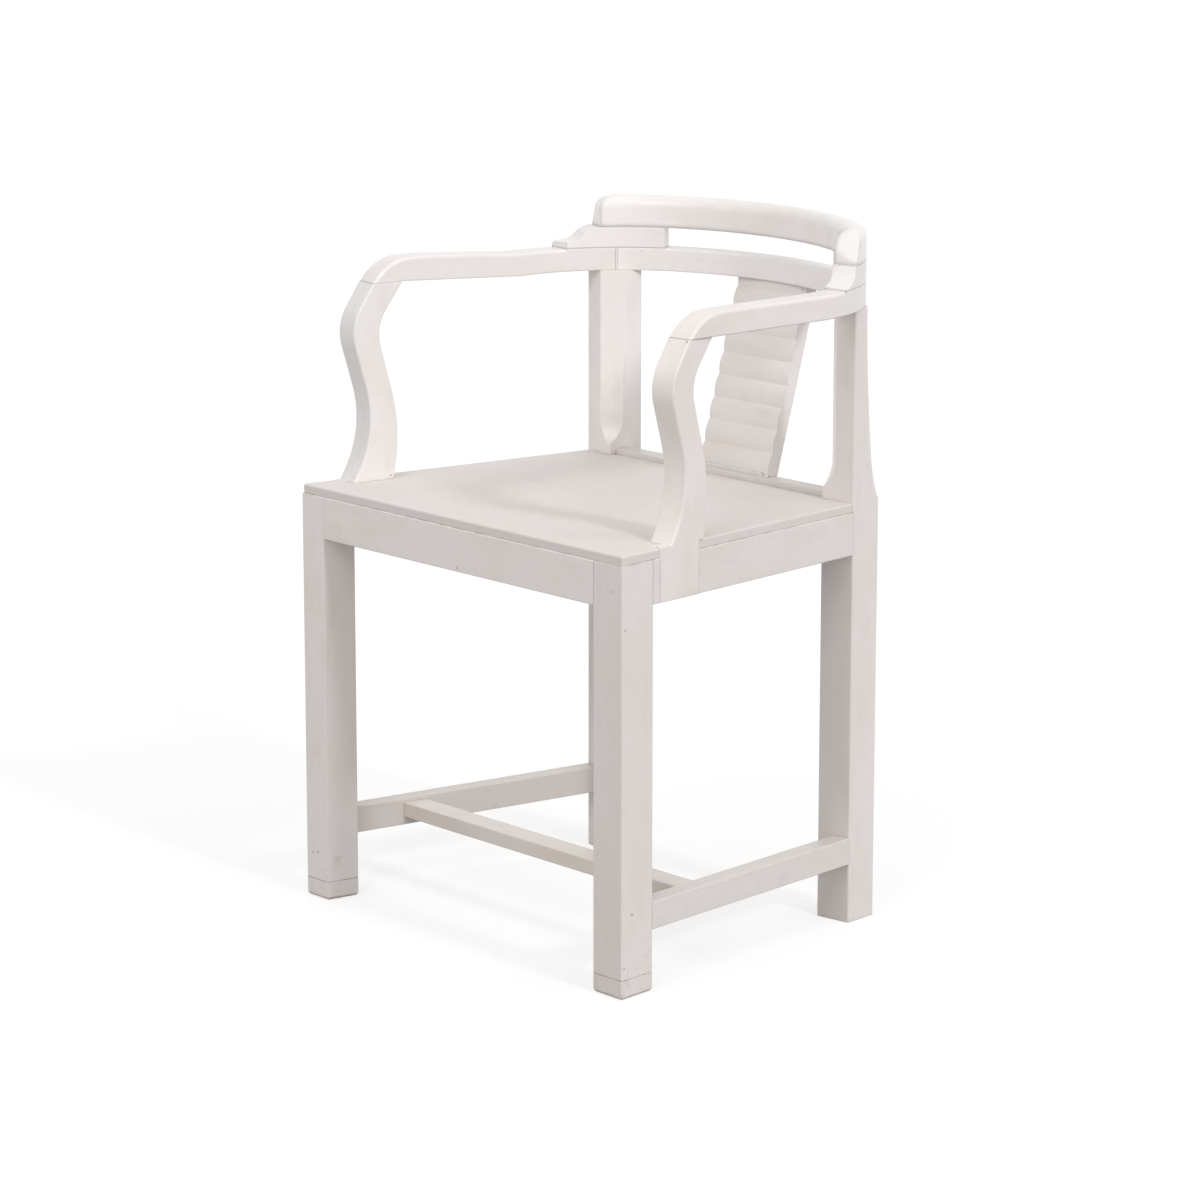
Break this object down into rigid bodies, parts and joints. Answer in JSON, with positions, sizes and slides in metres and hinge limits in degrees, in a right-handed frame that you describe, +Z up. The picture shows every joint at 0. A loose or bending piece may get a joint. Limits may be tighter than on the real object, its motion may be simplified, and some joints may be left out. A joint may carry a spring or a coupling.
{
  "type": "horseshoe back armchair",
  "caption": "Low wooden armchair with a flat horseshoe arm band, raised crest rail, rippled splat, curved arm posts and low stretchers, painted white",
  "frame": {"origin": "on the floor under the middle of the chair's bounding box", "axes": "+Z up, -Y to the front where the sitter faces, +X to the sitter's left"},
  "size_m": [0.4984, 0.4534, 0.715],
  "materials": {
    "white_paint": "white oil paint over wood, half gloss, worn at the edges",
    "bare_wood": "bare wood, seen only from below or hidden in the joints"
  },
  "bodies": {
    "root": {"front_left_leg": "white_paint", "front_left_foot_block": "white_paint", "back_left_post": "white_paint", "left_apron": "white_paint", "left_arm_post": "white_paint", "left_arm": "white_paint", "left_shoe": "white_paint", "left_side_stretcher": "white_paint", "front_right_leg": "white_paint", "front_right_foot_block": "white_paint", "back_right_post": "white_paint", "right_apron": "white_paint", "right_arm_post": "white_paint", "right_arm": "white_paint", "right_shoe": "white_paint", "right_side_stretcher": "white_paint", "front_apron": "white_paint", "back_rail": "white_paint", "seat_front_board": "white_paint", "seat_back_board": "white_paint", "seat_batten": "bare_wood", "rear_seat_cleat": "bare_wood", "bow_rail": "white_paint", "crest_rail": "white_paint", "splat": "white_paint", "cross_stretcher": "white_paint", "foot_dowels": "bare_wood", "crest_dowels": "bare_wood", "seat_pegs": "bare_wood", "arm_post_pegs": "bare_wood"}
  },
  "joints": []
}
